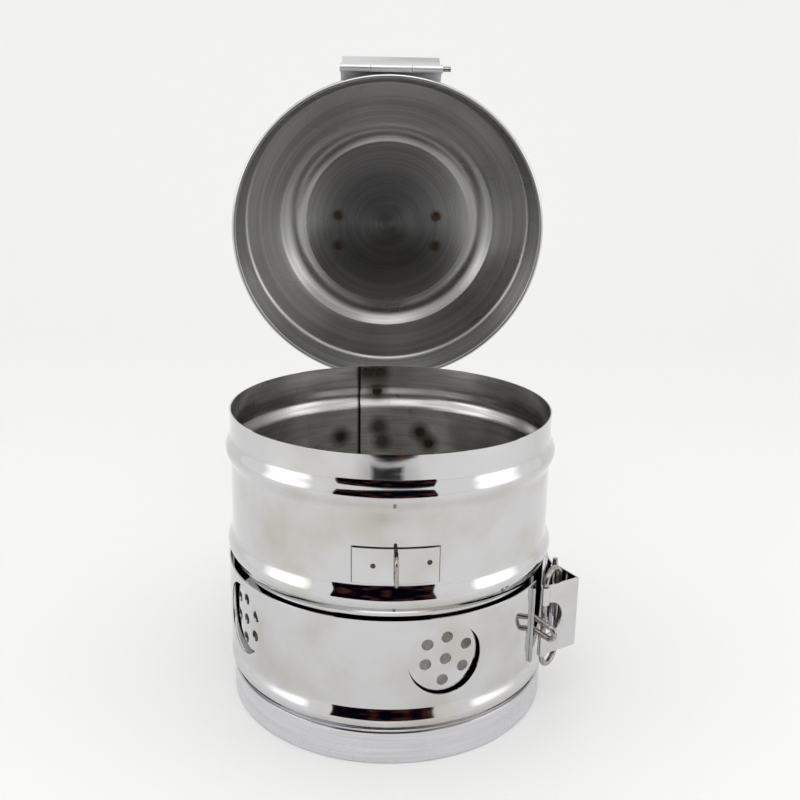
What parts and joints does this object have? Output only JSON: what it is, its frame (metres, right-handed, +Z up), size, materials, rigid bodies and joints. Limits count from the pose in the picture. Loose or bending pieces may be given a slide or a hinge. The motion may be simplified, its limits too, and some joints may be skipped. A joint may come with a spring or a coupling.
{
  "type": "sterilizing drum",
  "caption": "Round polished steel dressing drum with a hinged lid, hasp, drop handle and a sliding vent band held by a wire-link clasp.",
  "frame": {"origin": "on the drum's axis, at the plane that the base ring stands on", "axes": "+Z up along the drum's axis, -Y to the front with the hasp plate, +Y to the lid's hinge, +X to the right"},
  "size_m": [0.1682, 0.1913, 0.3009],
  "materials": {
    "polished_steel": "mirror polished stainless sheet outside, satin and circular brushed inside",
    "satin_steel": "satin stainless sheet with fine brush lines",
    "wire_steel": "bright drawn stainless wire",
    "base_steel": "dull satin stainless ring with a thin lathe grain"
  },
  "bodies": {
    "drum": {"drum_shell": "polished_steel", "seam_strip": "satin_steel", "drum_floor": "satin_steel", "base_ring": "base_steel", "staple_plate": "polished_steel", "padlock_staple": "wire_steel", "hinge_leaf_drum": "polished_steel", "hinge_pin": "wire_steel"},
    "lid": {"lid_pan": "polished_steel", "hinge_leaf_lid": "polished_steel", "hasp_base": "polished_steel", "hasp_pin": "wire_steel", "handle_bracket_left": "polished_steel", "handle_bracket_right": "polished_steel"},
    "handle": {"drop_handle": "wire_steel"},
    "hasp": {"hasp_leaf": "polished_steel"},
    "band": {"vent_band": "polished_steel", "band_hook": "polished_steel", "band_staple": "wire_steel", "lever_hinge_leaf": "polished_steel", "lever_pin": "wire_steel"},
    "lever": {"clasp_lever": "polished_steel"},
    "link": {"clasp_link": "wire_steel"}
  },
  "joints": [
    {"name": "lid_hinge", "type": "hinge", "parent": "drum", "child": "lid", "pos_m": [0, 0.0864, 0.1265], "axis": [1, 0, 0], "range_deg": [0, 80]},
    {"name": "hasp_fold", "type": "hinge", "parent": "lid", "child": "hasp", "pos_m": [0, 0.05696, 0.29373], "axis": [1, 0, 0], "range_deg": [0, 188]},
    {"name": "handle_fold", "type": "hinge", "parent": "lid", "child": "handle", "pos_m": [0, 0.09874, 0.21285], "axis": [1, 0, 0], "range_deg": [0, 180]},
    {"name": "band_turn", "type": "hinge", "parent": "drum", "child": "band", "pos_m": [0, 0, 0.0487], "axis": [0, 0, 1], "range_deg": [-45, 45]},
    {"name": "lever_swing", "type": "hinge", "parent": "band", "child": "lever", "pos_m": [0.07888, -0.01705, 0.0492], "axis": [0, 0, 1], "range_deg": [0, 110]},
    {"name": "link_swing", "type": "hinge", "parent": "lever", "child": "link", "pos_m": [0.06979, -0.04111, 0.0492], "axis": [0, 0, 1], "range_deg": [-10, 20]}
  ]
}
